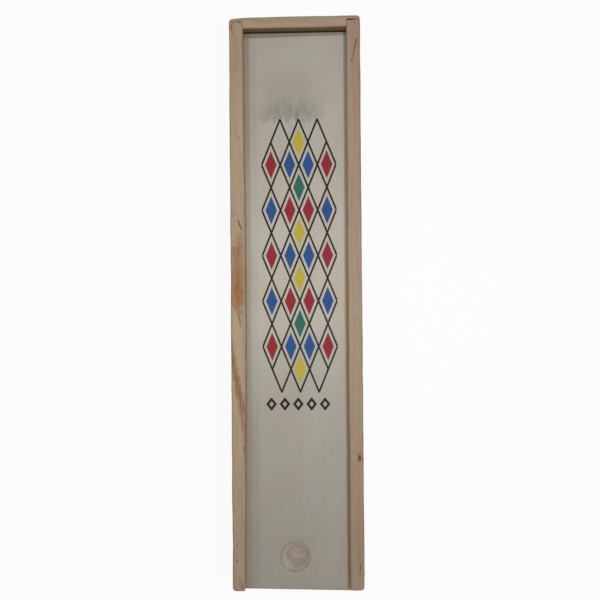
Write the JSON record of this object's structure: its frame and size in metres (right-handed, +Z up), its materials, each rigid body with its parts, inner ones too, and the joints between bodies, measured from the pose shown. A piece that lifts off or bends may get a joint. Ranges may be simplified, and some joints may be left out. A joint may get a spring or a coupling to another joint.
{
  "type": "pick-up sticks box",
  "caption": "Long narrow wooden box whose plywood lid slides out of grooves in the side rails, filled with painted, pointed pick-up sticks.",
  "frame": {"origin": "middle of the box's underside, which lies on the table", "axes": "+Z up, +Y towards the closed head end, so the lid slides out towards -Y, and +X to the right when the foot end is near"},
  "size_m": [0.0456, 0.2, 0.028],
  "materials": {
    "frame_wood": "bare planed softwood, slightly pinkish, worn at the edges",
    "lid_plywood": "bare pale plywood, sanded, with a printed ornament",
    "base_plywood": "bare pale plywood",
    "stick_wood": "turned wood with painted bands"
  },
  "bodies": {
    "box": {"left_rail": "frame_wood", "right_rail": "frame_wood", "head_board": "frame_wood", "foot_board": "frame_wood", "base_panel": "base_plywood"},
    "lid": {"sliding_lid": "lid_plywood"},
    "sticks": {"twenty_point_stick": "stick_wood", "ten_point_stick_01": "stick_wood", "ten_point_stick_02": "stick_wood", "ten_point_stick_03": "stick_wood", "ten_point_stick_04": "stick_wood", "ten_point_stick_05": "stick_wood", "five_point_stick_01": "stick_wood", "five_point_stick_02": "stick_wood", "five_point_stick_03": "stick_wood", "five_point_stick_04": "stick_wood", "five_point_stick_05": "stick_wood", "three_point_stick_01": "stick_wood", "three_point_stick_02": "stick_wood", "three_point_stick_03": "stick_wood", "three_point_stick_04": "stick_wood", "three_point_stick_05": "stick_wood", "three_point_stick_06": "stick_wood", "three_point_stick_07": "stick_wood", "three_point_stick_08": "stick_wood", "three_point_stick_09": "stick_wood", "three_point_stick_10": "stick_wood", "three_point_stick_11": "stick_wood", "three_point_stick_12": "stick_wood", "three_point_stick_13": "stick_wood", "three_point_stick_14": "stick_wood", "three_point_stick_15": "stick_wood", "two_point_stick_01": "stick_wood", "two_point_stick_02": "stick_wood", "two_point_stick_03": "stick_wood", "two_point_stick_04": "stick_wood", "two_point_stick_05": "stick_wood", "two_point_stick_06": "stick_wood", "two_point_stick_07": "stick_wood", "two_point_stick_08": "stick_wood", "two_point_stick_09": "stick_wood", "two_point_stick_10": "stick_wood", "two_point_stick_11": "stick_wood", "two_point_stick_12": "stick_wood", "two_point_stick_13": "stick_wood", "two_point_stick_14": "stick_wood", "two_point_stick_15": "stick_wood"}
  },
  "joints": [
    {"name": "lid_slide", "type": "slide", "parent": "box", "child": "lid", "axis": [0, -1, 0], "range_m": [0, 0.1985]},
    {"name": "sticks_shift", "type": "slide", "parent": "box", "child": "sticks", "axis": [0, 1, 0], "range_m": [-0.0033, 0.0033]}
  ]
}
